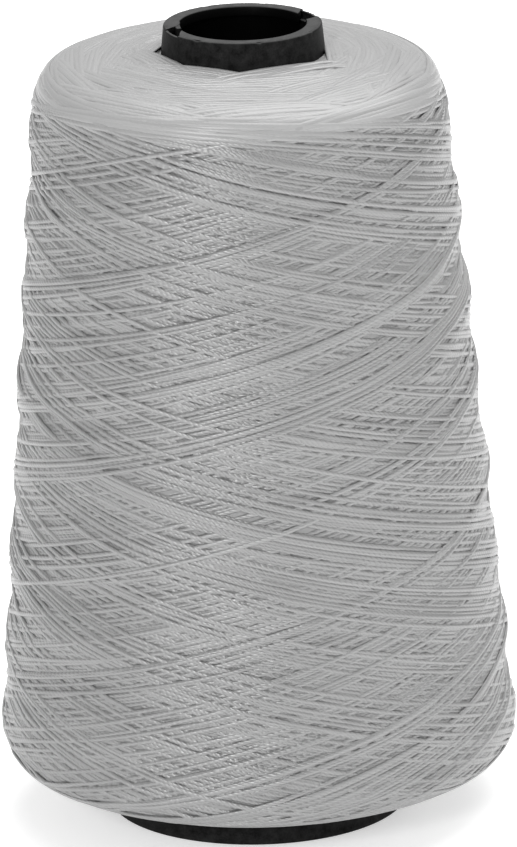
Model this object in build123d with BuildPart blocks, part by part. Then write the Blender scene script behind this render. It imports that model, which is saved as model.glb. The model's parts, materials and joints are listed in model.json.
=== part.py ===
from build123d import *
import os
from math import cos, radians, sin, tan

# Waxed thread spool: a hollow moulded cone with thread cross-wound around it.
# Millimetres, +Z up along the cone's axis, origin at the centre of the base rim's resting plane.

# --- cone core ---
CORE_LENGTH = 170.0
BASE_OUTER_R = 31.7
NOSE_OUTER_R = 16.5
WALL = 1.8
NOSE_BORE_R = 13.3
FLANGE_THICKNESS = 2.0
EDGE_ROUND = 0.25  # broken outer edges of the moulding
BASE_LEAD_IN = 0.6  # chamfer inside the base, where a holder's cone enters

# --- notches through the nose flange ---
# Start and end angle from +X at the bore, then start and end angle at the lip: their sides are slanted.
NOTCHES = [(8.0, 30.0, 15.0, 40.0), (184.0, 200.0, 193.0, 215.0)]
LIP_THICKNESS = 0.6  # outer skin left standing beside each notch
LIP_DROP = 0.3  # how far that skin stands below the nose face

# --- thread package ---
PACKAGE_BOTTOM_Z = 3.9  # lowest turn on the core
PACKAGE_TOP_Z = 165.3  # highest turn on the core
WIDEST_R = 55.05  # where the side, drawn straight on, would meet the bottom face
SIDE_ANGLE = 4.73  # the side leans in by this much, in degrees
BOTTOM_SLOPE = 20.0  # the bottom face rises outwards by this much, in degrees
TOP_SLOPE = 8.1  # the top face falls outwards by this much, in degrees
LOWER_SHOULDER_R = 7.0
UPPER_SHOULDER_R = 8.0


def core_outer_r(z):
    return BASE_OUTER_R - (BASE_OUTER_R - NOSE_OUTER_R) * z / CORE_LENGTH


def on_circle(radius, degrees):
    return (radius * cos(radians(degrees)), radius * sin(radians(degrees)))


def notch_outline(bore_start, bore_end, lip_start, lip_end, lip_r):
    """Plan of one notch, from well inside the bore out to the lip, with a side at each end."""
    well_inside = NOSE_BORE_R / 2
    with BuildSketch(mode=Mode.PRIVATE) as outline:
        with BuildLine():
            Polyline(
                on_circle(lip_r, lip_start),
                on_circle(NOSE_BORE_R, bore_start),
                on_circle(well_inside, bore_start),
                on_circle(well_inside, bore_end),
                on_circle(NOSE_BORE_R, bore_end),
                on_circle(lip_r, lip_end),
            )
            ThreePointArc(
                on_circle(lip_r, lip_end),
                on_circle(lip_r, (lip_start + lip_end) / 2),
                on_circle(lip_r, lip_start),
            )
        make_face()
    return outline.sketch


def lip_outline(start, end):
    """Plan of the skin left beside a notch, a little over its real width."""
    with BuildSketch(mode=Mode.PRIVATE) as outline:
        with BuildLine():
            Polyline(
                on_circle(NOSE_BORE_R, start),
                on_circle(NOSE_OUTER_R + 1, start),
                on_circle(NOSE_OUTER_R + 1, (start + end) / 2),
                on_circle(NOSE_OUTER_R + 1, end),
                on_circle(NOSE_BORE_R, end),
                close=True,
            )
        make_face()
    return outline.sketch


os.makedirs("parts", exist_ok=True)

# Cone core: a tapered tube whose nose turns inwards as a flat flange.
FLANGE_Z = CORE_LENGTH - FLANGE_THICKNESS
with BuildPart() as cone_core:
    with BuildSketch(Plane.XZ):
        with BuildLine():
            Polyline(
                (BASE_OUTER_R - WALL + BASE_LEAD_IN, 0),
                (BASE_OUTER_R, 0),
                (NOSE_OUTER_R, CORE_LENGTH),
                (NOSE_BORE_R, CORE_LENGTH),
                (NOSE_BORE_R, FLANGE_Z),
                (core_outer_r(FLANGE_Z) - WALL, FLANGE_Z),
                (core_outer_r(BASE_LEAD_IN) - WALL, BASE_LEAD_IN),
                close=True,
            )
        make_face()
    revolve(axis=Axis.Z)
    outer_rims = cone_core.edges().filter_by(GeomType.CIRCLE).filter_by(
        lambda e: abs(e.radius - BASE_OUTER_R) < 0.01 or abs(e.radius - NOSE_OUTER_R) < 0.01
    )
    fillet(outer_rims, EDGE_ROUND)
    for notch in NOTCHES:
        with BuildSketch(Plane.XY.offset(FLANGE_Z)):
            add(notch_outline(*notch, NOSE_OUTER_R - LIP_THICKNESS))
        extrude(amount=2 * FLANGE_THICKNESS, mode=Mode.SUBTRACT)
        with BuildSketch(Plane.XY.offset(CORE_LENGTH - LIP_DROP)):
            add(lip_outline(*notch[2:]))
        extrude(amount=2 * LIP_DROP, mode=Mode.SUBTRACT)
cone_core.part.label = "cone_core"
export_step(cone_core.part, "parts/cone_core.step")

# Thread package: the outer shape of the wound thread, seated on the core's taper.
bottom_seat = (core_outer_r(PACKAGE_BOTTOM_Z), PACKAGE_BOTTOM_Z)
top_seat = (core_outer_r(PACKAGE_TOP_Z), PACKAGE_TOP_Z)
lower_corner = (WIDEST_R, PACKAGE_BOTTOM_Z + (WIDEST_R - bottom_seat[0]) * tan(radians(BOTTOM_SLOPE)))

# The side and the top face meet where both lines give the same height.
side_run = tan(radians(SIDE_ANGLE))
top_fall = tan(radians(TOP_SLOPE))
seat_to_side = WIDEST_R + lower_corner[1] * side_run - top_seat[0]
upper_z = (top_seat[1] - seat_to_side * top_fall) / (1 - side_run * top_fall)
upper_corner = (WIDEST_R - (upper_z - lower_corner[1]) * side_run, upper_z)

with BuildPart() as thread_package:
    with BuildSketch(Plane.XZ):
        with BuildLine():
            Line(top_seat, bottom_seat)
            FilletPolyline(
                bottom_seat,
                lower_corner,
                upper_corner,
                top_seat,
                radius=[LOWER_SHOULDER_R, UPPER_SHOULDER_R],
            )
        make_face()
    revolve(axis=Axis.Z)
thread_package.part.label = "thread_package"
export_step(thread_package.part, "parts/thread_package.step")
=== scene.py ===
import json
import math

import bmesh
import bpy
import numpy as np
from mathutils import Matrix, Vector


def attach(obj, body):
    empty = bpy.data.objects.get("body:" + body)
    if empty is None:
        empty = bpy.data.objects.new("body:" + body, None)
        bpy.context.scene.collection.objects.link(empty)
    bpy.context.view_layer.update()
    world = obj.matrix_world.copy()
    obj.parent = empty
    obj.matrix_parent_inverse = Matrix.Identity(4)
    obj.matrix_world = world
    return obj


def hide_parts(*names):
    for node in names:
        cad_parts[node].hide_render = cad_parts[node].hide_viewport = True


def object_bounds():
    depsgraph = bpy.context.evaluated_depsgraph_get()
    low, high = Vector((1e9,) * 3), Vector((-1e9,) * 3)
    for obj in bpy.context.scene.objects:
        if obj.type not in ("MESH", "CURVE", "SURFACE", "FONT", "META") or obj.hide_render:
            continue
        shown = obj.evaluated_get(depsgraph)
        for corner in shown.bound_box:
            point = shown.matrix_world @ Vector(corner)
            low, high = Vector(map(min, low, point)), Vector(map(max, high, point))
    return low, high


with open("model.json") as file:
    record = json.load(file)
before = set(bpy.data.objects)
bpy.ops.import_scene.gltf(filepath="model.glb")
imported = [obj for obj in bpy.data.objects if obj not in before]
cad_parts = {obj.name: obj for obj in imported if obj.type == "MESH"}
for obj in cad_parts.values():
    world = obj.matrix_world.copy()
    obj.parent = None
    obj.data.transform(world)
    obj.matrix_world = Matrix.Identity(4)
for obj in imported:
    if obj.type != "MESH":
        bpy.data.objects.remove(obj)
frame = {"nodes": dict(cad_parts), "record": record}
cad_low, cad_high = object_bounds()

# The winding is worked out in millimetres, on a map of the package's surface: across, the angle round
# the axis, and up, the distance s along the profile from the core's base end to its nose end.
MM = 0.001

# --- camera, in metres and degrees ---
CAMERA_DISTANCE = 1.83
CAMERA_ELEVATION = 17.6
CAMERA_ROLL = 1.21
CAMERA_LENS = 369.7  # in millimetres, as is the sensor
CAMERA_SENSOR = 36.0
AIM_RIGHT = 0.0016  # from the middle of the object's height
AIM_UP = -0.0021

# --- stage, in metres and watts ---
FLOOR_HALF = 6.0
FLOOR_GREY = 0.88
FLOOR_GLOW = 0.45
WORLD_LIGHT = 0.5
# Each light's name, place, side and power.
LIGHTS = (
    ("key", (-0.5, -1.5, 0.75), 0.28, 8.8),
    ("fill", (1.3, -0.7, 0.6), 1.0, 2.2),
    ("top", (0.25, 0.5, 1.4), 1.4, 19.0),
)

# --- core ---
CORE_WALL = 1.8
CORE_EDGE_ROUND = 0.35
NOSE_BAND = 0.5  # the nose's radius is the CAD model's largest within this of its face
NOTCH_EDGE_ROUND = 0.15
BASE_ROUND = 0.25
BASE_ROUND_MIDDLE = 0.07
BASE_LEAD_IN = 0.6
OUTSIDE_HEIGHTS = (1, 2, 3, 4, 6, 10, *range(20, 160, 10), 162, 165, 167, 168)
INSIDE_HEIGHTS = range(160, 0, -10)
# Each notch's start and end angle from +X, in degrees, at the bore and then at the lip outside it.
NOTCHES = ((8.0, 30.0, 15.0, 40.0), (184.0, 200.0, 193.0, 215.0))
NOTCH_SIDE = 0.03  # half the angle between the two columns of points at a notch's side
SLANT_FADE = 14.0  # beside a notch, the columns of points straighten up over this angle
COLUMN_ANGLE = 0.75
LIP_THICKNESS = 0.6
LIP_DROP = 0.3
LIP_BEVEL = 0.02
# Each chip's angle, width and depth, the angles in degrees.
CHIPS = ((234, 7, 0.30), (282, 5, 0.25), (118, 6, 0.2), (331, 4, 0.15), (75, 5, 0.15))
RIM_ROUGHNESS = 0.03
LIP_ROUGHNESS = 0.07
TAB_PLACE = (177, 14)  # angle and width
TAB_LENGTH = 0.3
TAB_BLUNTNESS = 0.4  # power of its outline, where 1 gives a parabola
MOUTH_ROUND = 0.15
MOUTH_WEAR = 0.5  # the bore's edge is rubbed back by this much more at the front and the back
MOUTH_BEND = 0.3  # how far from the sharp corner that edge's middle is, each way, to its width
BORE_CHAMFER = 0.1
FINGER_ANGLES = (181, 193)
FINGER_WIDTH = 1.3
FINGER_END = 0.75  # its width at its far end is this share of the width at its root
FINGER_TOP = 0.05  # how far its root stands below the nose's face
FINGER_DROP = 0.25  # and how much further down it goes as its width goes to nothing
FINGER_FOOT = 0.2  # its underside is this far above the flange's
FINGER_COLUMNS = 9
FINGER_ROUND = 0.1
WELD_DISTANCE = 0.005
SHARP_ANGLE = 35
# The inside wall looks like the outside below the first of these heights, and is painted plain black above
# the second, as shade in the bore.
LIT_INSIDE = (100, 150)

# --- thread ---
HALF_WIDTH = 0.55
HALF_HEIGHT = 0.37  # the thread lies pressed a little flat
SQUARENESS = 2.2  # power of its section, where 2 is round
PLY_COUNT = 3
PLY_PITCH = 3.9  # length of thread in which a ply goes once round
RING_SIDES = 8
STEP = 0.25  # sample spacing along a strand
MESH_EVERY = 4  # tube rings are this many samples apart
END_TAPER = 0.5  # size of a stretch's first and last ring, to 1 for the others
HIDDEN_DEPTH = 0.9  # thread buried by more than this is left out
COVER_PLACES = (-1.8, -0.9, 0.0, 0.9, 1.8)  # where its cover is measured, in half widths from its middle
SHOWN_MARGIN = 2.0  # each stretch that shows is this much longer at both ends
FEWEST_RINGS = 4  # a stretch of fewer rings is left out
MAX_PIECE_FACES = 90000

# --- how thread rests on thread ---
CROSSING = 0.6  # where threads cross they sink into each other, to this share of their full height
SETTLING = 8.0  # how much closer than a free taut thread one is pulled down between the high points
FLATTEST = 1 / 12  # least curvature with which thread is pulled down, where the surface itself is flat
SMOOTHING = 2.5  # a strand's height is smoothed over this many samples
FEELERS = np.linspace(-0.6, 0.6, 5)  # where a strand feels for what it rests on, in half widths
PRESSERS = np.linspace(-0.78, 0.78, 8)  # where it raises the height map
TUCK_LENGTH = 14.0  # an end dips below the surface over this length
CELL = 0.25  # height map cell along s
COLUMNS = 1400  # height map cells round the axis
COARSE = 4  # cells of the height map to one of the level map, each way
PACKING_REACH = 2.2  # heaps wider than this are pressed flat as the package builds up
LEVEL_EVERY = 8000  # samples laid between two updates of the level map

# --- the package's relief ---
SUNK = 0.42  # how far inside the package's outline the topmost thread's height is put
TOPMOST = 80  # percentile of the height map that counts as the topmost thread's height
HIGHEST = 0.25  # before it is pressed, no thread stands further than this above its surroundings
DEEP = 0.9  # thread deeper than this is drawn towards the surface
DEEP_KEPT = 0.35  # and keeps this share of its further depth
SIDE_RELIEF = 0.30  # the whole package is pressed, which leaves this share of the relief
FACE_RELIEF = 0.12  # and this share on the nose end's face, where the thread turns back
FACE_FLATTENING = 0.3  # there the thread is flatter by this share, and as much wider
FACE_EDGE_R = 42.9  # the face reaches over the shoulder, out to this radius
FACE_BLEND = 3.0
OUTLINE_SMOOTHING = 6
BEND_SMOOTHING = 4
SEAT_MARGIN = 0.3  # points of the package's outline nearer to the core than this are its seat

# --- the package's shape ---
LEAN = (0.5, -1.15)  # how far it stands off the core's axis along X, at its bottom and its top
CLINGING = 12.0  # thread nearer to the core than this is drawn in to it
# The side bulges in low swellings, where the bands of thread crossed while it was wound.
SWELLING = 0.45
SWELLING_HEIGHT = 18.4
SWELLING_Z = 20.0  # the lowest row of them
SWELLINGS_ROUND = 4
SWELLING_FROM = 0.5  # they rise from nothing where the normal's outward part is this
SWELLING_RISE = 0.45  # to their full height where it is larger by this
UNEVEN_SWELLING = 0.3  # share of a second, slower set of swellings
UNEVEN_HEIGHT = 0.6  # its rows to one row of the first set
UNEVEN_ROUND = 3
UNEVEN_START = 1
# Next to the core the nose end's face dips, and straight bands of thread bridge the dip.
DIP = 1.3
DIP_WIDTH = 6.0
DIP_POWER = 1.5
BRIDGES = (158, 208, 242, 296, 5, 45, 90, 125)  # directions in which the bands pass nearest to the axis
BRIDGE_THREADS = (4, 6)  # fewest and most
BRIDGE_REACH = (15, 21)  # half a band's length
BRIDGE_SCATTER = 1.0  # spread of the threads' directions
BRIDGE_SEAT = 0.85  # how far the innermost thread's middle is from the core, in half widths
BRIDGE_RELIEF = 0.6
BRIDGE_LIMIT = 0.5  # a bridging thread's relief stays within this before it is pressed

# --- how the turns on the end faces are laid ---
NOSE_FACE_R = 42.6
BASE_FACE_R = 50.0
TURN_CLOSENESS = 0.97  # the turns under the bands lie this much closer than threads in a band
TURN_OVERLAP = 4
END_MARGIN = 0.6  # no turn's middle is nearer than this to the profile's ends
CUT_MARGIN = 0.5  # and no thread goes on nearer than this
FACE_ADVANCE = 0.40  # each band starts this much further out than the one before
FIRST_BAND = -12  # bands start this many advances inside the core, to cover its edge
INNER_BANDS = 5
INNER_STRAIGHTNESS = (0.75, 1.0)
OUTER_STRAIGHTNESS = (0.35, 0.95)
BAND_REACH = (0.7, 1.1)  # half a band's length, to its radius
FACE_BAND_THREADS = (3, 7)  # fewest and most
FACE_BAND_SCATTER = 0.2  # spread of the bands' directions, in radians
FACE_THREAD_SCATTER = 0.04  # spread of a thread's distance from its neighbour
FACE_THREAD_DRIFT = 0.02  # and of its direction, in radians
FACE_TUCK = 1.2  # how far its ends dip

# --- how the outer thread is laid ---
# A pass goes from the base end up to the nose end and back.
HELIX_ANGLE = 15.0  # to the horizontal, on the package's side
EVEN_PASSES = 81  # laid evenly all round, as the closed layer below what shows
EVEN_STRIDE = 29  # places between one of them and the next
EVEN_LOW_R = (46, 0.3)  # radius at which they turn back at the base end, and its spread
EVEN_HIGH_R = (40.5, 0.3)  # and at the nose end
EVEN_TURN = (50, 0.5)  # and the length over which they do
BAND_PASSES = 120  # laid on that in bands of neighbours
BAND_SIZES = (1, 2, 2, 3, 4, 4, 5, 6)
BAND_SCATTER = 0.15  # spread of the bands' places round the base, in radians
BAND_LOW_R = (47, 0.8)
BAND_HIGH_R = (41.2, 0.6)
BAND_LOW_GROWTH = 2.0  # the last bands turn back this much further out than the first at the base end
BAND_HIGH_GROWTH = 1.4  # and by this much at the nose end
OUTERMOST_TURN_R = 43.2
BAND_TURN = (38, 64)  # length over which a pass turns back
BAND_SHIFT = 0.8  # neighbours turn back this far from each other
BAND_WOBBLE = 0.12
SIDE_BY_SIDE = 0.97  # spacing of the threads in a band
BAND_SPACING = (0.96, 1.1)  # which varies by this factor
SPACED_AT = 0.9  # the spacing holds where the radius is this share of the widest
PASS_TUCK = 1.4  # how far a pass's ends dip
GOLDEN = (math.sqrt(5) - 1) / 2  # a step of this share of a turn spreads the bands evenly

# --- the thread's grey, with painted shade and painted light ---
THREAD_TONE = 0.35
TONE_SPREAD = 0.012  # from strand to strand
SHADED = 0.05  # painted shade: the deepest thread that shows is darker by this share
SHADE_DEPTHS = (0.5, 4.5)  # depths from which thread starts to darken with painted shade, and at which it is darkest
FACE_PAINTED_LIGHT = 0.25  # painted light: the nose end's face is lighter than the side by this share
FACE_TWIST_LOSS = 0.8  # and the twist shows less there by this share

# --- the bed ---
BED_DEPTH = 0.37  # below the topmost thread's height
BED_END_DEPTH = 0.6  # below the package's outline, at its two ends
BED_COLUMNS = 180
BED_ROW_STEP = 6
BED_TWIST = 0.5
SEAT_ROWS = 10
SEAT_GAP = 0.05

rng = np.random.default_rng(20)


def new_object(name, data):
    obj = bpy.data.objects.new(name, data)
    bpy.context.scene.collection.objects.link(obj)
    return obj


# ---------------- camera
def make_camera():
    middle = Vector((0, 0, (cad_low.z + cad_high.z) / 2))
    elevation = math.radians(CAMERA_ELEVATION)
    back = Vector((0, -math.cos(elevation), math.sin(elevation)))
    roll = Matrix.Rotation(-math.radians(CAMERA_ROLL), 3, "Z").to_quaternion()
    turn = (-back).to_track_quat("-Z", "Y") @ roll
    right = turn @ Vector((1, 0, 0))
    up = turn @ Vector((0, 1, 0))
    data = bpy.data.cameras.new("camera")
    data.lens = CAMERA_LENS
    data.sensor_width = CAMERA_SENSOR
    data.clip_end = 20.0
    camera = new_object("camera", data)
    camera.rotation_mode = "QUATERNION"
    camera.rotation_quaternion = turn
    camera.location = middle + right * AIM_RIGHT + up * AIM_UP + back * CAMERA_DISTANCE
    bpy.context.scene.camera = camera


make_camera()


# ---------------- materials
def node_material(name):
    material = bpy.data.materials.new(name)
    material.use_nodes = True
    tree = material.node_tree
    return material, tree, tree.nodes["Principled BSDF"]


def add(tree, kind, **settings):
    node = tree.nodes.new(kind)
    for key, value in settings.items():
        setattr(node, key, value)
    return node


def noise_node(tree, scale, detail):
    """Noise in the object's own space, with scale lumps to the metre."""
    noise = add(tree, "ShaderNodeTexNoise")
    noise.inputs["Scale"].default_value = scale
    noise.inputs["Detail"].default_value = detail
    place = add(tree, "ShaderNodeTexCoord")
    tree.links.new(place.outputs["Object"], noise.inputs["Vector"])
    return noise.outputs["Fac"]


def math_node(tree, operation, first, second=None):
    node = add(tree, "ShaderNodeMath", operation=operation)
    for socket, value in zip(node.inputs, (first, second)):
        if value is None:
            continue
        if isinstance(value, (int, float)):
            socket.default_value = value
        else:
            tree.links.new(value, socket)
    return node.outputs[0]


def map_range(tree, value, low, high, value_low=0.0, value_high=1.0):
    """A value that goes from low to high as the given value goes from value_low to value_high."""
    node = add(tree, "ShaderNodeMapRange")
    limits = {"From Min": value_low, "From Max": value_high, "To Min": low, "To Max": high}
    for socket, limit in limits.items():
        node.inputs[socket].default_value = limit
    tree.links.new(value, node.inputs["Value"])
    return node.outputs["Result"]


def set_grey(tree, shader, value):
    colour = add(tree, "ShaderNodeCombineColor")
    for socket in colour.inputs[:3]:
        tree.links.new(value, socket)
    tree.links.new(colour.outputs["Color"], shader.inputs["Base Color"])


def set_bump(tree, shader, height, strength, distance):
    bump = add(tree, "ShaderNodeBump")
    bump.inputs["Strength"].default_value = strength
    bump.inputs["Distance"].default_value = distance
    tree.links.new(height, bump.inputs["Height"])
    tree.links.new(bump.outputs["Normal"], shader.inputs["Normal"])


def plastic_material():
    """Black moulded plastic, mottled, with a painted sheen on what faces up, which stands in for the
    reflection of the top light. Inside the bore it fades to plain black, as painted shade: the mesh carries
    an attribute that is 1 where the mottling and the sheen show, and falls to 0 up the inside wall."""
    darkest = 0.001
    sheen_grey = 0.025  # the painted sheen's grey, where a surface faces straight up
    streaks = 0.05  # and how much the mottling adds to it
    falloff = 4  # power with which the painted sheen fades as a surface tips
    material, tree, shader = node_material("core_black_plastic")
    grain = noise_node(tree, scale=2600, detail=4)
    blotch = noise_node(tree, scale=550, detail=4)
    mottle = math_node(tree, "ADD", math_node(tree, "MULTIPLY", grain, 0.5), blotch)
    grey = map_range(tree, mottle, low=0.003, high=0.022, value_low=0.5)
    exposed = add(tree, "ShaderNodeAttribute", attribute_name="exposed").outputs["Fac"]
    facing = add(tree, "ShaderNodeSeparateXYZ")
    tree.links.new(add(tree, "ShaderNodeNewGeometry").outputs["Normal"], facing.inputs["Vector"])
    # Painted sheen: what faces up is lighter, standing in for the reflection of the top light.
    upward = math_node(tree, "POWER", math_node(tree, "MAXIMUM", facing.outputs["Z"], 0.0), falloff)
    top_sheen = math_node(tree, "ADD", math_node(tree, "MULTIPLY", mottle, streaks), sheen_grey)
    grey_and_sheen = math_node(tree, "ADD", grey, math_node(tree, "MULTIPLY", upward, top_sheen))
    # Inside the bore the plastic fades to plain black, as painted shade.
    set_grey(tree, shader, math_node(tree, "ADD", math_node(tree, "MULTIPLY", grey_and_sheen, exposed), darkest))
    set_bump(tree, shader, mottle, strength=0.5, distance=0.00012)
    tree.links.new(map_range(tree, blotch, low=0.42, high=0.62), shader.inputs["Roughness"])
    shader.inputs["Specular IOR Level"].default_value = 0.05
    return material


def thread_material():
    """White waxed thread. Each point of the mesh carries its place on the thread, which is the cosine and
    sine of its angle round the thread and its distance along it in millimetres. It also carries the thread's
    grey, with painted shade and painted light in it, and how strongly the twist shows. The grooves between
    the plies are painted darker, as shade."""
    ridge_power = 0.6  # below 1 the plies are rounded ridges with narrow grooves
    fibre_share = 0.35  # height of the fibres, to the plies' own
    gloss = 0.43  # the metallic share where the twist shows in full
    material, tree, shader = node_material("waxed_thread")
    place = add(tree, "ShaderNodeAttribute", attribute_name="thread_place")
    grey = add(tree, "ShaderNodeAttribute", attribute_name="thread_tint").outputs["Fac"]
    twist = add(tree, "ShaderNodeAttribute", attribute_name="thread_twist").outputs["Fac"]
    split = add(tree, "ShaderNodeSeparateXYZ")
    tree.links.new(place.outputs["Vector"], split.inputs["Vector"])
    around = math_node(tree, "ARCTAN2", split.outputs["Y"], split.outputs["X"])
    lead = math_node(tree, "MULTIPLY", split.outputs["Z"], 2 * math.pi / PLY_PITCH)
    phase = math_node(tree, "MULTIPLY", math_node(tree, "SUBTRACT", around, lead), PLY_COUNT / 2)
    ridge = math_node(tree, "ABSOLUTE", math_node(tree, "SINE", phase))
    ply = math_node(tree, "MULTIPLY", math_node(tree, "POWER", ridge, ridge_power), twist)
    fibre = noise_node(tree, scale=6000, detail=3)
    height = math_node(tree, "ADD", ply, math_node(tree, "MULTIPLY", fibre, fibre_share))
    set_bump(tree, shader, height, strength=0.9, distance=0.00009)
    # Painted shade: the grooves between the plies are darker.
    set_grey(tree, shader, math_node(tree, "MULTIPLY", map_range(tree, ply, low=0.92, high=1.0), grey))
    tree.links.new(math_node(tree, "MULTIPLY", twist, gloss), shader.inputs["Metallic"])
    shader.inputs["Roughness"].default_value = 0.29
    shader.inputs["Specular IOR Level"].default_value = 0.25
    return material


def floor_material():
    material, _, shader = node_material("floor_white")
    shader.inputs["Base Color"].default_value = (FLOOR_GREY, FLOOR_GREY, FLOOR_GREY, 1)
    shader.inputs["Roughness"].default_value = 0.8
    shader.inputs["Emission Color"].default_value = (1, 1, 1, 1)
    shader.inputs["Emission Strength"].default_value = FLOOR_GLOW
    return material


# ---------------- the package's profile
def smooth(values, sigma):
    """Gaussian smoothing that keeps straight ends straight."""
    reach = int(3 * sigma) + 1
    kernel = np.exp(-0.5 * (np.arange(-reach, reach + 1) / sigma) ** 2)
    kernel /= kernel.sum()
    before = 2 * values[0] - values[reach:0:-1]
    after = 2 * values[-1] - values[-2 : -reach - 2 : -1]
    return np.convolve(np.concatenate([before, values, after]), kernel, mode="valid")


def node_points(node):
    """A CAD node's points, in millimetres."""
    points = np.empty(len(node.data.vertices) * 3, np.float32)
    node.data.vertices.foreach_get("co", points)
    return points.reshape(-1, 3) / MM


def run_along(line):
    """Distance of each point of a line from its first point."""
    return np.concatenate([[0], np.cumsum(np.linalg.norm(np.diff(line, axis=0), axis=1))])


def running_sum(values, x):
    """Integral of values from the first x to each x."""
    return np.concatenate([[0], np.cumsum((values[1:] + values[:-1]) / 2 * np.diff(x))])


class Profile:
    """The package's outline from its base end to its nose end, as evenly spaced points with normals."""

    def __init__(self, node):
        points = node_points(node)
        outline = np.column_stack([np.hypot(points[:, 0], points[:, 1]), points[:, 2]])
        outline = np.unique(np.round(outline, 2), axis=0)
        bottom = outline[outline[:, 1].argmin()]
        top = outline[outline[:, 1].argmax()]
        seat = (top - bottom) / np.linalg.norm(top - bottom)
        across = (outline - bottom) @ np.array([seat[1], -seat[0]])
        outer = outline[across > SEAT_MARGIN]
        middle = outline.mean(0)
        order = np.argsort(np.arctan2(outer[:, 1] - middle[1], outer[:, 0] - middle[0]))
        line = np.vstack([bottom, outer[order], top])
        along = run_along(line)
        self.length = along[-1]
        self.s = np.arange(0, self.length, CELL)
        self.rows = len(self.s)
        self.r, self.z = (smooth(np.interp(self.s, along, line[:, k]), OUTLINE_SMOOTHING) for k in (0, 1))
        dr, dz = np.gradient(self.r, CELL), np.gradient(self.z, CELL)
        size = np.hypot(dr, dz)
        self.nr, self.nz = dz / size, -dr / size
        turning = np.gradient(dr / size, CELL) * self.nr + np.gradient(dz / size, CELL) * self.nz
        self.bend = smooth(-turning, BEND_SMOOTHING)

    def at(self, s, values):
        return np.interp(s, self.s, values)

    def s_at_r(self, r, nose_end):
        """Distance along the profile where its radius is r, on the nose end's face or the base end's."""
        widest = self.r.argmax()
        if nose_end:
            return np.interp(-np.asarray(r, float), -self.r[widest:], self.s[widest:])
        return np.interp(r, self.r[:widest], self.s[:widest])


# ---------------- laying thread
class Winding:
    """Lays strands one after another on a height map, each resting on what was laid before it."""

    def __init__(self, profile):
        self.profile = profile
        self.height = np.zeros((profile.rows, COLUMNS))
        coarse_s = (np.arange(profile.rows // COARSE) * COARSE + (COARSE - 1) / 2) * CELL
        self.level = np.zeros((profile.rows // COARSE, COLUMNS // COARSE))
        apart = coarse_s[:, None] - coarse_s[None, :]
        self.blur_rows = np.exp(-0.5 * (apart / PACKING_REACH) ** 2)
        self.blur_rows /= self.blur_rows.sum(1)[:, None]
        waves = np.arange(COLUMNS // COARSE // 2 + 1)
        radius = profile.at(coarse_s, profile.r)
        self.blur_waves = np.exp(-0.5 * (waves[None, :] * PACKING_REACH / radius[:, None]) ** 2)
        self.strands = []
        self.since_level = 0

    def update_level(self):
        """Smooths the height map into the level that the package has been pressed to."""
        rows, columns = self.level.shape
        blocks = self.height[: rows * COARSE].reshape(rows, COARSE, columns, COARSE).mean((1, 3))
        waves = np.fft.rfft(blocks, axis=1) * self.blur_waves
        self.level = self.blur_rows @ np.fft.irfft(waves, n=columns, axis=1)
        self.since_level = 0

    def level_at(self, theta, s):
        """The level under each point, read between the coarse map's cells."""
        rows, columns = self.level.shape
        row = np.clip((s / CELL - (COARSE - 1) / 2) / COARSE, 0, rows - 1.001)
        column = (theta / (2 * math.pi) * COLUMNS - (COARSE - 1) / 2) / COARSE
        i, j = np.floor(row).astype(int), np.floor(column).astype(int)
        u, v = row - i, column - j
        j, k = j % columns, (j + 1) % columns
        near = self.level[i, j] * (1 - v) + self.level[i, k] * v
        far = self.level[i + 1, j] * (1 - v) + self.level[i + 1, k] * v
        return near * (1 - u) + far * u

    def topmost(self):
        """Brings the level up to date, and gives the topmost thread's height above it."""
        self.update_level()
        fine = np.kron(self.level, np.ones((COARSE, COARSE)))
        return np.percentile(self.height[: len(fine)] - fine, TOPMOST)

    def cells(self, theta, s, heading, offset):
        """Height map cells at a sideways offset from a strand."""
        cosine, sine = heading
        radius = self.profile.at(s, self.profile.r)
        rows = np.rint((s + offset * cosine) / CELL).astype(int)
        turn = theta - offset * sine / radius
        columns = np.rint(turn * COLUMNS / (2 * math.pi)).astype(int) % COLUMNS
        return np.clip(rows, 0, self.profile.rows - 1), columns

    def heading(self, theta, s):
        """Cosine and sine of a strand's slope on the map."""
        across = np.gradient(theta) * self.profile.at(s, self.profile.r)
        up = np.gradient(s)
        size = np.hypot(across, up)
        return across / size, up / size

    def lay(self, theta, s, end_depth=0.0, bridging=False):
        """Lays one strand along a path on the map, with its ends tucked in by end_depth."""
        heading = self.heading(theta, s)
        rests = np.full(len(s), -np.inf)
        for share in FEELERS:
            rise = CROSSING * HALF_HEIGHT * math.sqrt(1 - share**2)
            below = self.height[self.cells(theta, s, heading, share * HALF_WIDTH)]
            rests = np.maximum(rests, below + rise)
        level = self.level_at(theta, s)
        run = np.arange(len(s)) * STEP
        radius = self.profile.at(s, self.profile.r)
        round_axis = heading[0] ** 2 * self.profile.at(s, self.profile.nr) / radius
        over_profile = heading[1] ** 2 * self.profile.at(s, self.profile.bend)
        curvature = np.maximum(SETTLING * (round_axis + over_profile), FLATTEST)
        centre = smooth(taut(rests - level, curvature, run), SMOOTHING) + level
        centre -= tuck(run, end_depth) + tuck(run[::-1], end_depth)
        self.strands.append((theta, s, centre, bridging))
        self.press(theta, s, heading, centre)
        self.since_level += len(s)
        if self.since_level > LEVEL_EVERY:
            self.update_level()

    def press(self, theta, s, heading, centre):
        """Raises the height map to a strand's top."""
        for share in PRESSERS:
            top = centre + CROSSING * HALF_HEIGHT * math.sqrt(1 - share**2)
            np.maximum.at(self.height, self.cells(theta, s, heading, share * HALF_WIDTH), top)


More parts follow.
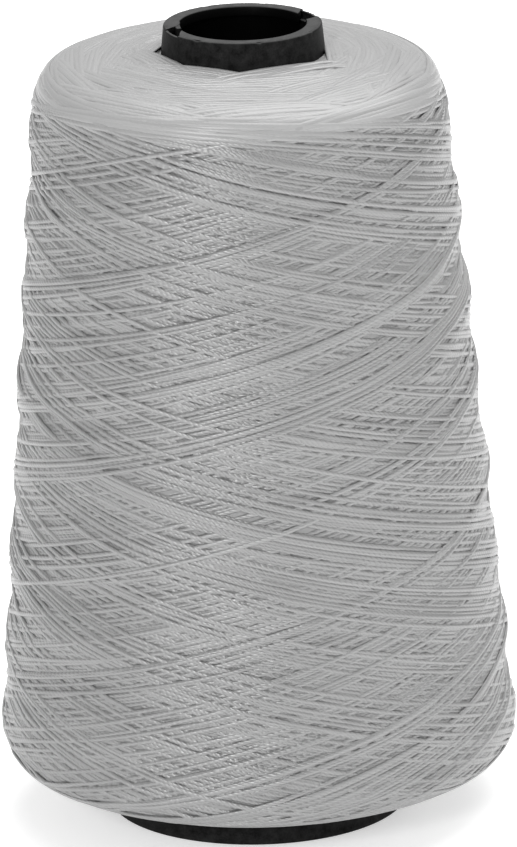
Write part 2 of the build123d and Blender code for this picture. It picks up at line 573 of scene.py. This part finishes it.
def taut(ground, curvature, run):
    """Height of a taut thread over the ground: it runs straight from one high point to the next."""
    bow = running_sum(running_sum(curvature, run), run)
    level = (ground - bow).tolist()
    x = run.tolist()
    touching = [0]
    for i in range(1, len(x)):
        while len(touching) > 1:
            a, b = touching[-2], touching[-1]
            if (level[b] - level[a]) * (x[i] - x[a]) > (level[i] - level[a]) * (x[b] - x[a]):
                break
            touching.pop()
        touching.append(i)
    return np.interp(run, run[touching], np.asarray(level)[touching]) + bow


def tuck(run, depth):
    """How far an end dips below the surface."""
    share = np.clip(1 - np.abs(run) / TUCK_LENGTH, 0, 1)
    return depth * share**2


def traverse(profile, theta, s_from, s_to, slope, turn_from, turn_to):
    """One pass along the package, whose slope grows over the first turn and fades over the last."""
    distance = abs(s_to - s_from)
    length = distance / slope + (turn_from + turn_to) / 2
    x = np.linspace(0, length, int(length / STEP))
    ramp = np.clip(np.minimum(x / turn_from, (length - x) / turn_to), 0, 1)
    climbed = running_sum(ramp, x)
    s = s_from + (s_to - s_from) * climbed / climbed[-1]
    return theta + running_sum(1 / profile.at(s, profile.r), x), s


def end_arc(profile, theta, s_turn, inward, half_length, spread):
    """A turn on an end face: it comes in towards the core, runs round it and goes out again, faster with
    a larger spread."""
    x = np.arange(-half_length, half_length, STEP)
    s = s_turn - inward * spread * x**2 / 2
    return theta + x / profile.at(s, profile.r), s


def face_turns(winding, nose_end):
    """The turns that older layers show on the end faces: rings first, and on them bands of neighbours,
    from the core outwards."""
    profile = winding.profile
    inner = (profile.r[-1] if nose_end else profile.r[0]) + HALF_WIDTH
    outer = NOSE_FACE_R if nose_end else BASE_FACE_R
    for radius in np.arange(inner, outer, SIDE_BY_SIDE * TURN_CLOSENESS):
        s_turn = np.clip(profile.s_at_r(radius, nose_end), END_MARGIN, profile.length - END_MARGIN)
        turn = np.arange(0, 2 * math.pi * radius + TURN_OVERLAP, STEP) / radius
        theta = rng.uniform(0, 2 * math.pi) + turn
        winding.lay(theta, np.full(len(theta), s_turn))
    for band in range(FIRST_BAND, int((outer - inner) / FACE_ADVANCE)):
        theta = 2 * math.pi * band * GOLDEN + rng.normal(0, FACE_BAND_SCATTER)
        straightness = rng.uniform(*(INNER_STRAIGHTNESS if band < INNER_BANDS else OUTER_STRAIGHTNESS))
        reach = rng.uniform(*BAND_REACH)
        for neighbour in range(rng.integers(*FACE_BAND_THREADS, endpoint=True)):
            radius = inner + FACE_ADVANCE * band + SIDE_BY_SIDE * neighbour
            radius += rng.normal(0, FACE_THREAD_SCATTER)
            if radius < inner:
                continue
            size = radius * reach, straightness / radius
            face_band_thread(winding, theta, min(radius, outer), size, nose_end)
            theta += rng.normal(0, FACE_THREAD_DRIFT)


def face_band_thread(winding, theta, radius, size, nose_end):
    """One thread of a band on an end face, cut off where it would leave the profile. Its size is half its
    length and its spread, as end_arc takes them."""
    profile = winding.profile
    s_turn = float(profile.s_at_r(radius, nose_end))
    s_turn = min(s_turn, profile.length - END_MARGIN) if nose_end else max(s_turn, END_MARGIN)
    path_theta, path_s = end_arc(profile, theta, s_turn, 1 if nose_end else -1, *size)
    inside = (path_s > CUT_MARGIN) & (path_s < profile.length - CUT_MARGIN)
    winding.lay(path_theta[inside], path_s[inside], FACE_TUCK)


def bridges(winding):
    """Straight bands of thread that touch the core at the nose end."""
    profile = winding.profile
    for direction in BRIDGES:
        reach = rng.uniform(*BRIDGE_REACH)
        for neighbour in range(rng.integers(*BRIDGE_THREADS, endpoint=True)):
            nearest = profile.r[-1] + HALF_WIDTH * BRIDGE_SEAT + SIDE_BY_SIDE * neighbour
            along = np.arange(-reach, reach, STEP)
            theta = math.radians(direction + rng.normal(0, BRIDGE_SCATTER)) + np.arctan2(along, nearest)
            s = profile.s_at_r(np.hypot(nearest, along), True)
            winding.lay(theta, s, FACE_TUCK, bridging=True)


def one_pass(profile, theta, ends, turns, end_theta):
    """A pass from the base end up to the nose end and back, with the slope that brings it to end_theta."""
    slope = math.tan(math.radians(HELIX_ANGLE))
    low, high, next_low = ends
    for _ in range(2):
        up = traverse(profile, theta, low, high, slope, turns[0], turns[1])
        down = traverse(profile, up[0][-1], high, next_low, slope, turns[1], turns[2])
        turned = down[0][-1] - theta
        whole = round((turned - (end_theta - theta)) / (2 * math.pi)) * 2 * math.pi
        slope *= turned / (whole + end_theta - theta)
    return np.concatenate([up[0], down[0][1:]]), np.concatenate([up[1], down[1][1:]])


def outer_passes(winding):
    """The outermost thread: an even layer, and then bands of passes laid side by side."""
    plan = pass_plan(winding.profile)
    theta = plan[0][0]
    for (_, low, high, turns), (next_theta, next_low, _, _) in zip(plan, plan[1:]):
        path_theta, path_s = one_pass(winding.profile, theta, (low, high, next_low), turns, next_theta)
        winding.lay(path_theta, path_s, PASS_TUCK)
        theta = path_theta[-1]


def pass_plan(profile):
    """For each pass: where round the base it starts, where on the profile it turns back at the two ends,
    and the lengths over which it turns."""
    middle_r = profile.r.max() * SPACED_AT
    beside = SIDE_BY_SIDE / (middle_r * math.sin(math.radians(HELIX_ANGLE)))
    plan = []
    for k in range(EVEN_PASSES):
        place = 2 * math.pi * (k * EVEN_STRIDE % EVEN_PASSES) / EVEN_PASSES
        low = profile.s_at_r(rng.normal(*EVEN_LOW_R), False)
        high = profile.s_at_r(rng.normal(*EVEN_HIGH_R), True)
        plan.append((place, low, high, rng.normal(*EVEN_TURN, 3)))
    band = 0
    while len(plan) <= EVEN_PASSES + BAND_PASSES:
        age = (len(plan) - EVEN_PASSES) / BAND_PASSES
        place = 2 * math.pi * GOLDEN * band + rng.normal(0, BAND_SCATTER)
        low_r = rng.normal(BAND_LOW_R[0] + BAND_LOW_GROWTH * age, BAND_LOW_R[1])
        high_r = rng.normal(BAND_HIGH_R[0] + BAND_HIGH_GROWTH * age, BAND_HIGH_R[1])
        high_r = min(high_r, OUTERMOST_TURN_R)
        ends = np.array((profile.s_at_r(low_r, False), profile.s_at_r(high_r, True)))
        turns = rng.uniform(*BAND_TURN, 3)
        size = rng.choice(BAND_SIZES)
        shift = rng.choice((-BAND_SHIFT, BAND_SHIFT), 2)
        for neighbour in range(size):
            from_middle = neighbour - (size - 1) / 2
            wobble = rng.normal(0, BAND_WOBBLE, 2)
            plan.append((place, *(ends + shift * from_middle + wobble), turns))
            place += beside * rng.uniform(*BAND_SPACING)
        band += 1
    return plan


def wind_package(profile):
    winding = Winding(profile)
    face_turns(winding, nose_end=True)
    bridges(winding)
    face_turns(winding, nose_end=False)
    outer_passes(winding)
    return winding


# ---------------- meshes
def around_axis(radius, theta, z):
    """Points from their distance from the axis, their angle round it and their height."""
    x, y = radius * np.cos(theta), radius * np.sin(theta)
    return np.stack([x, y, np.broadcast_to(z, x.shape)], -1)


def mesh_object(name, points, quads, caps, attributes, material):
    """A smooth mesh from arrays of points, four-sided faces and end caps."""
    mesh = bpy.data.meshes.new(name)
    mesh.vertices.add(len(points))
    mesh.vertices.foreach_set("co", (points * MM).astype(np.float32).ravel())
    sides = [np.full(len(quads), 4)] + [np.full(len(cap), cap.shape[1]) for cap in caps]
    corners = [quads.ravel()] + [cap.ravel() for cap in caps]
    sides, corners = np.concatenate(sides), np.concatenate(corners)
    mesh.loops.add(len(corners))
    mesh.loops.foreach_set("vertex_index", corners.astype(np.int32))
    mesh.polygons.add(len(sides))
    starts = np.concatenate([[0], np.cumsum(sides)[:-1]])
    mesh.polygons.foreach_set("loop_start", starts.astype(np.int32))
    mesh.polygons.foreach_set("loop_total", sides.astype(np.int32))
    mesh.polygons.foreach_set("use_smooth", np.ones(len(sides), bool))
    for key, (kind, values) in attributes.items():
        layer = mesh.attributes.new(key, kind, "POINT")
        field = "vector" if kind == "FLOAT_VECTOR" else "value"
        layer.data.foreach_set(field, values.astype(np.float32).ravel())
    mesh.update()
    mesh.validate()
    mesh.materials.append(material)
    return new_object(name, mesh)


def grid_faces(rows, columns):
    """Four-sided faces of a grid of points that closes on itself both ways."""
    row = np.arange(rows)[:, None]
    column = np.arange(columns)[None, :]
    after, beside = (row + 1) % rows, (column + 1) % columns
    here, above = row * columns, after * columns
    corners = (here + column, here + beside, above + beside, above + column)
    return np.stack(corners, -1).reshape(-1, 4)


def visible_stretches(winding, theta, s, centre):
    """Start and end of each stretch of a strand that isn't buried under later thread."""
    heading = winding.heading(theta, s)
    cover = np.full(len(s), np.inf)
    for place in COVER_PLACES:
        cells = winding.cells(theta, s, heading, place * HALF_WIDTH)
        cover = np.minimum(cover, winding.height[cells] - centre - HALF_HEIGHT)
    margin = int(SHOWN_MARGIN / STEP)
    shown = np.convolve(cover < HIDDEN_DEPTH, np.ones(2 * margin + 1), mode="same") > 0
    edges = np.flatnonzero(np.diff(np.concatenate([[0], shown.astype(int), [0]])))
    stretches = zip(edges[::2], edges[1::2])
    return [(start, end) for start, end in stretches if end - start > FEWEST_RINGS * MESH_EVERY]


def swelling(profile, theta, s):
    """Height of the low swellings on the package's side."""
    on_side = np.clip((profile.at(s, profile.nr) - SWELLING_FROM) / SWELLING_RISE, 0, 1)
    up = 2 * math.pi * (profile.at(s, profile.z) - SWELLING_Z) / SWELLING_HEIGHT
    even = np.cos(up) * np.cos(SWELLINGS_ROUND * theta)
    uneven = UNEVEN_SWELLING * np.cos(UNEVEN_HEIGHT * up + UNEVEN_ROUND * theta + UNEVEN_START)
    return SWELLING * on_side * (even + uneven)


def dip(profile, s):
    """Depth of the dip round the core at the nose end."""
    from_core = (profile.at(s, profile.r) - profile.r[-1]) / DIP_WIDTH
    nose_end = s > profile.length / 2
    return DIP * np.clip(1 - from_core, 0, 1) ** DIP_POWER * nose_end


def face_share(profile, s):
    """1 on the nose end's face, 0 on the side, with a short blend at the shoulder."""
    return np.clip((s - profile.s_at_r(FACE_EDGE_R, True)) / FACE_BLEND + 0.5, 0, 1)


def surface_points(profile, theta, s, offset):
    """Points at a height above the package's surface, which is off centre except where it meets the core."""
    offset = offset + swelling(profile, theta, s)
    radius = profile.at(s, profile.r) + offset * profile.at(s, profile.nr)
    z = profile.at(s, profile.z) + offset * profile.at(s, profile.nz)
    ends = [profile.z[0], profile.z[-1]]
    seat = np.interp(z, ends, [profile.r[0], profile.r[-1]])
    share = np.clip((radius - seat) / CLINGING, 0, 1)
    points = around_axis(radius, theta, z)
    points[:, 0] += np.interp(z, ends, LEAN) * share
    return points


def settled(profile, s, above):
    """Presses the highest crossings down, and brings the deepest thread nearer the surface, in order."""
    high = HIGHEST * (1 - np.exp(-np.maximum(above, 0) / HIGHEST))
    low = np.minimum(above, 0)
    deep = np.maximum(-DEEP - low, 0)
    relief = SIDE_RELIEF + (FACE_RELIEF - SIDE_RELIEF) * face_share(profile, s)
    return (high + low + deep * (1 - DEEP_KEPT)) * relief - SUNK - dip(profile, s)


def bridge_height(above):
    """A band that bridges the dip round the core keeps to the height of the face outside it."""
    return np.clip(above, -BRIDGE_LIMIT, BRIDGE_LIMIT) * BRIDGE_RELIEF - SUNK


def squared(wave):
    """Makes a round section a little square, as thread pressed among its neighbours is."""
    return np.sign(wave) * np.abs(wave) ** (2 / SQUARENESS)


def tube(profile, theta, s, offset, start_length):
    """Rings of points round one stretch of thread, and each point's place on the thread."""
    centre = surface_points(profile, theta, s, offset)
    ahead = np.gradient(centre, axis=0)
    ahead /= np.linalg.norm(ahead, axis=1)[:, None]
    nr, nz = profile.at(s, profile.nr), profile.at(s, profile.nz)
    out = around_axis(nr, theta, nz)
    side = np.cross(ahead, out)
    side /= np.linalg.norm(side, axis=1)[:, None]
    out = np.cross(side, ahead)
    angle = np.arange(RING_SIDES) * 2 * math.pi / RING_SIDES
    pressed = FACE_FLATTENING * face_share(profile, s)
    high, wide = HALF_HEIGHT * (1 - pressed), HALF_WIDTH * (1 + pressed)
    for half in (high, wide):
        half[[0, -1]] *= END_TAPER
    up, across = squared(np.cos(angle)) * high[:, None], squared(np.sin(angle)) * wide[:, None]
    points = centre[:, None] + up[..., None] * out[:, None] + across[..., None] * side[:, None]
    place = np.empty((len(s), RING_SIDES, 3))
    place[..., 0] = np.cos(angle)
    place[..., 1] = np.sin(angle)
    place[..., 2] = (start_length + run_along(centre))[:, None]
    return points.reshape(-1, 3), place.reshape(-1, 3)


def tube_faces(first, rings):
    """Faces of a tube whose points start at number first, and its two end caps."""
    ring = np.arange(rings - 1)[:, None] * RING_SIDES
    here = np.arange(RING_SIDES)[None, :]
    beside = (here + 1) % RING_SIDES
    after = ring + RING_SIDES
    quads = np.stack([ring + here, ring + beside, after + beside, after + here], axis=-1)
    start_cap = np.arange(RING_SIDES)[::-1]
    end_cap = (rings - 1) * RING_SIDES + np.arange(RING_SIDES)
    return first + quads.reshape(-1, 4), first + np.vstack([start_cap, end_cap])


def thread_stretches(winding):
    """Every stretch of thread that shows, oldest first: its path on the map, its height and its grey, which
    holds painted shade and painted light.
    """
    profile = winding.profile
    topmost = winding.topmost()
    shade_from, shade_to = SHADE_DEPTHS
    stretches = []
    for theta, s, centre, bridging in winding.strands:
        tint = rng.normal(0, TONE_SPREAD)
        for start, end in visible_stretches(winding, theta, s, centre):
            pick = np.unique(np.append(np.arange(start, end, MESH_EVERY), end - 1))
            path_theta, path_s = theta[pick], s[pick]
            above = centre[pick] - winding.level_at(path_theta, path_s) - topmost
            offset = bridge_height(above) if bridging else settled(profile, path_s, above)
            deep = np.clip((-above - shade_from) / (shade_to - shade_from), 0, 1)
            on_face = face_share(profile, path_s)
            # Painted shade darkens the deeper thread on the side, and painted light makes the thread on the
            # nose end's face lighter.
            tone = (THREAD_TONE + tint) * (1 - SHADED * deep * (1 - on_face)) * (1 + FACE_PAINTED_LIGHT * on_face)
            stretches.append((path_theta, path_s, offset, tone))
    return stretches


def build_thread(winding, material):
    """Tubes for every visible stretch, gathered into pieces of limited size, oldest thread first."""
    stretches = thread_stretches(winding)
    count = sum(len(stretch[0]) for stretch in stretches) * RING_SIDES
    per_piece = count / math.ceil(count / MAX_PIECE_FACES)
    pieces, batch, faces = [], [], 0
    for stretch in stretches:
        batch.append(stretch)
        faces += len(stretch[0]) * RING_SIDES
        if faces > per_piece:
            pieces.append(thread_piece(winding.profile, batch, len(pieces) + 1, material))
            batch, faces = [], 0
    if batch:
        pieces.append(thread_piece(winding.profile, batch, len(pieces) + 1, material))
    return pieces


def thread_piece(profile, batch, number, material):
    """One mesh of all the stretches in a batch."""
    parts = []
    first = 0
    for theta, s, offset, tone in batch:
        points, places = tube(profile, theta, s, offset, rng.uniform(0, PLY_PITCH))
        quads, caps = tube_faces(first, len(s))
        first += len(points)
        twist = 1 - FACE_TWIST_LOSS * face_share(profile, s)
        parts.append((points, places, np.repeat(tone, RING_SIDES), np.repeat(twist, RING_SIDES), quads, caps))
    points, places, tints, twists, quads, caps = (np.concatenate(part) for part in zip(*parts))
    attributes = {
        "thread_place": ("FLOAT_VECTOR", places),
        "thread_tint": ("FLOAT", tints),
        "thread_twist": ("FLOAT", twists),
    }
    return mesh_object(f"thread_winding_{number:02d}", points, quads, [caps], attributes, material)


def build_bed(profile, material):
    """Closed surface under the visible thread: the thread further in. Its grey is the deepest thread's,
    darkened by painted shade.
    """
    s = profile.s[::BED_ROW_STEP]
    depth = np.full(len(s), BED_DEPTH + SUNK)
    depth[[0, -1]] = BED_END_DEPTH
    depth += dip(profile, s)
    theta = np.arange(BED_COLUMNS) * 2 * math.pi / BED_COLUMNS
    outside = [surface_points(profile, theta, np.full(BED_COLUMNS, a), -b) for a, b in zip(s, depth)]
    seat_r = np.linspace(profile.r[-1], profile.r[0], SEAT_ROWS + 2)[1:-1] + SEAT_GAP
    seat_z = np.linspace(profile.z[-1], profile.z[0], SEAT_ROWS + 2)[1:-1]
    inside = [around_axis(r, theta, z) for r, z in zip(seat_r, seat_z)]
    rings = np.stack(outside + inside)
    points = rings.reshape(-1, 3)
    attributes = {
        "thread_place": ("FLOAT_VECTOR", np.tile([1.0, 0.0, 0.0], (len(points), 1))),
        "thread_tint": ("FLOAT", np.full(len(points), THREAD_TONE * (1 - SHADED))),
        "thread_twist": ("FLOAT", np.full(len(points), BED_TWIST)),
    }
    return mesh_object("thread_bed", points, grid_faces(len(rings), BED_COLUMNS), [], attributes, material)


# ---------------- core
def core_columns():
    """Angles in degrees of the core's columns of points, with a close pair at each side of each notch."""
    angles = np.arange(0, 360, COLUMN_ANGLE)
    for _, _, start, end in NOTCHES:
        for side in (start, end):
            angles = angles[np.abs(angles - side) > COLUMN_ANGLE / 2]
            angles = np.append(angles, (side - NOTCH_SIDE, side + NOTCH_SIDE))
    return np.sort(angles)


def notch_columns(angle):
    """Which columns are in a notch, and how far each leans at the bore so that the notches' sides slant."""
    notch = np.zeros(len(angle), bool)
    slant = np.zeros(len(angle))
    for bore_start, bore_end, lip_start, lip_end in NOTCHES:
        notch |= (angle > lip_start) & (angle < lip_end)
        places = (lip_start - SLANT_FADE, lip_start, lip_end, lip_end + SLANT_FADE)
        slant += np.interp(angle, places, (0, bore_start - lip_start, bore_end - lip_end, 0))
    return notch, slant


def dent(angle, middle, width):
    """1 at the middle angle, falling smoothly to 0 at half the width to each side."""
    return np.clip(1 - np.abs(2 * (angle - middle) / width) ** 2, 0, 1)


def spread_out(section, angle):
    """Radii and heights of a section's points at every angle. Some of those given vary with the angle."""
    return [np.array([np.broadcast_to(point[k], angle.shape) for point in section]) for k in (0, 1)]


def build_core(node, mounts, material):
    """The moulded core, with a rim rubbed and chipped by wear, thin uneven lips at the notches and a stub of
    a tab in the bore.
    """
    cad = node_points(node)
    radii = np.hypot(cad[:, 0], cad[:, 1])
    height, base_r = cad[:, 2].max(), radii.max()
    nose_r = radii[cad[:, 2] > height - NOSE_BAND].max()
    bore = next(mount for mount in mounts if mount["kind"] == "bore")["dims"]
    bore_r, flange_z = bore["r_mm"], height - bore["length_mm"]

    angle = core_columns()
    notch, slant = notch_columns(angle)
    rough = np.abs(np.random.default_rng(5).normal(0, 1, (2, len(angle))))
    chips = sum(depth * dent(angle, middle, width) for middle, width, depth in CHIPS)
    wear = chips + RIM_ROUGHNESS * rough[0]
    lip_r = nose_r - LIP_THICKNESS
    top = height - notch * (LIP_DROP + LIP_ROUGHNESS * rough[1]) - wear / 2
    edge = np.where(notch, NOTCH_EDGE_ROUND, CORE_EDGE_ROUND) + wear
    mouth = bore_r - TAB_LENGTH * dent(angle, *TAB_PLACE) ** TAB_BLUNTNESS
    mouth_edge = MOUTH_ROUND + MOUTH_WEAR * np.sin(np.radians(angle)) ** 2

    def outer(z):
        return base_r - (base_r - nose_r) * z / height

    # Each row is a radius and a height, from the base up the outside, over the nose and down the inside.
    rows = [(base_r - BASE_ROUND, 0.0)]
    rows += [(base_r - BASE_ROUND_MIDDLE, BASE_ROUND_MIDDLE), (base_r, BASE_ROUND)]
    rows += [(outer(z), z) for z in OUTSIDE_HEIGHTS]
    for turn in np.radians((0, 30, 60, 90)):
        rows.append((nose_r - edge * (1 - math.cos(turn)), top - edge * (1 - math.sin(turn))))
    rows.append((lip_r + LIP_BEVEL, top))
    floor_r = outer(flange_z) - CORE_WALL
    face = np.where(notch, flange_z, height)
    rows += [(lip_r, face), ((lip_r + floor_r) / 2, face), (floor_r, face)]
    ends = [(floor_r * 0.5 + (mouth + mouth_edge) * 0.5, height), (mouth + mouth_edge, height)]
    outside_rows = len(rows) + len(ends)
    bend = mouth_edge * MOUTH_BEND
    ends += [(mouth + bend, height - bend), (mouth, height - mouth_edge)]
    ends += [(mouth, flange_z + BORE_CHAMFER), (mouth + BORE_CHAMFER, flange_z)]
    rows += [(np.where(notch, floor_r, r), np.where(notch, flange_z, z)) for r, z in ends]
    rows += [(outer(z) - CORE_WALL, z) for z in (flange_z, *INSIDE_HEIGHTS, BASE_LEAD_IN)]
    rows.append((base_r - CORE_WALL + BASE_LEAD_IN, 0.0))

    radius, z = spread_out(rows, angle)
    inward = np.clip((lip_r - radius) / (lip_r - bore_r), 0, 1) * (z > flange_z - 0.01)
    turned = np.radians(angle + slant * inward)
    rings = around_axis(radius, turned, z)
    outside = np.arange(len(rows)) < outside_rows
    # Painted shade: the inside wall fades to plain black between the heights in LIT_INSIDE.
    exposed = np.where(outside[:, None], 1.0, np.interp(z, LIT_INSIDE, (1.0, 0.0)))
    attributes = {"exposed": ("FLOAT", exposed.ravel())}
    faces = grid_faces(*radius.shape)
    core = mesh_object("core_moulding", rings.reshape(-1, 3), faces, [], attributes, material)
    join_finger(core.data, moulding_finger(bore_r - TAB_LENGTH, flange_z, height))
    return core


def moulding_finger(bore_r, low, high):
    """A finger of the flange left standing along the bore, part of the way over a notch."""
    angle = np.radians(np.linspace(*FINGER_ANGLES, FINGER_COLUMNS))
    thinning = np.linspace(1.0, FINGER_END, FINGER_COLUMNS)
    back_r = bore_r + FINGER_WIDTH * thinning
    foot = low + FINGER_FOOT
    top = high - FINGER_TOP - FINGER_DROP * (1 - thinning)
    section = [(bore_r, foot), (bore_r, top - FINGER_ROUND), (bore_r + FINGER_ROUND, top)]
    section += [(back_r - FINGER_ROUND, top), (back_r, top - FINGER_ROUND), (back_r, foot)]
    radius, z = spread_out(section, angle)
    points = around_axis(radius.T, angle[:, None], z.T)
    count = len(section)
    last = (FINGER_COLUMNS - 1) * count
    faces = [
        (start + j, start + (j + 1) % count, start + count + (j + 1) % count, start + count + j)
        for start in range(0, last, count)
        for j in range(count)
    ]
    ends = [tuple(range(count))[::-1], tuple(range(last, last + count))]
    mesh = bpy.data.meshes.new("finger")
    mesh.from_pydata((points.reshape(-1, 3) * MM).tolist(), [], faces + ends)
    # The finger takes none of the bore's painted shade.
    exposed = mesh.attributes.new("exposed", "FLOAT", "POINT")
    exposed.data.foreach_set("value", np.ones(len(mesh.vertices)))
    return mesh


def join_finger(core_mesh, finger):
    """Adds the finger to the core's mesh, welds points that coincide and marks the sharp edges."""
    shape = bmesh.new()
    shape.from_mesh(core_mesh)
    shape.from_mesh(finger)
    bpy.data.meshes.remove(finger)
    bmesh.ops.remove_doubles(shape, verts=shape.verts, dist=WELD_DISTANCE * MM)
    bmesh.ops.recalc_face_normals(shape, faces=shape.faces)
    shape.to_mesh(core_mesh)
    shape.free()
    core_mesh.set_sharp_from_angle(angle=math.radians(SHARP_ANGLE))


# ---------------- stage
def area_light(name, place, target, side, power):
    data = bpy.data.lights.new(name, "AREA")
    data.shape = "SQUARE"
    data.size = side
    data.energy = power
    light = new_object(name, data)
    light.location = place
    light.rotation_euler = (Vector(target) - Vector(place)).to_track_quat("-Z", "Y").to_euler()


def make_floor():
    z = cad_low.z
    corners = [(x * FLOOR_HALF, y * FLOOR_HALF, z) for x, y in ((-1, -1), (1, -1), (1, 1), (-1, 1))]
    mesh = bpy.data.meshes.new("floor")
    mesh.from_pydata(corners, [], [(0, 1, 2, 3)])
    mesh.materials.append(floor_material())
    floor = new_object("floor", mesh)


def make_light():
    world = bpy.data.worlds.new("studio")
    world.use_nodes = True
    background = world.node_tree.nodes["Background"]
    background.inputs["Color"].default_value = (1, 1, 1, 1)
    background.inputs["Strength"].default_value = WORLD_LIGHT
    bpy.context.scene.world = world
    middle = (0, 0, (cad_low.z + cad_high.z) / 2)
    for name, place, side, power in LIGHTS:
        area_light(name, place, middle, side, power)
    bpy.context.scene.view_settings.view_transform = "Standard"


# ---------------- the object
core = build_core(frame["nodes"]["cone_core"], frame["record"]["mounts"], plastic_material())
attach(core, "root")
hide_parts("cone_core")

profile = Profile(frame["nodes"]["thread_package"])
winding = wind_package(profile)
waxed = thread_material()
bed = build_bed(profile, waxed)
threads = build_thread(winding, waxed)
for piece in [bed, *threads]:
    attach(piece, "root")
    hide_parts("thread_package")

make_floor()
make_light()
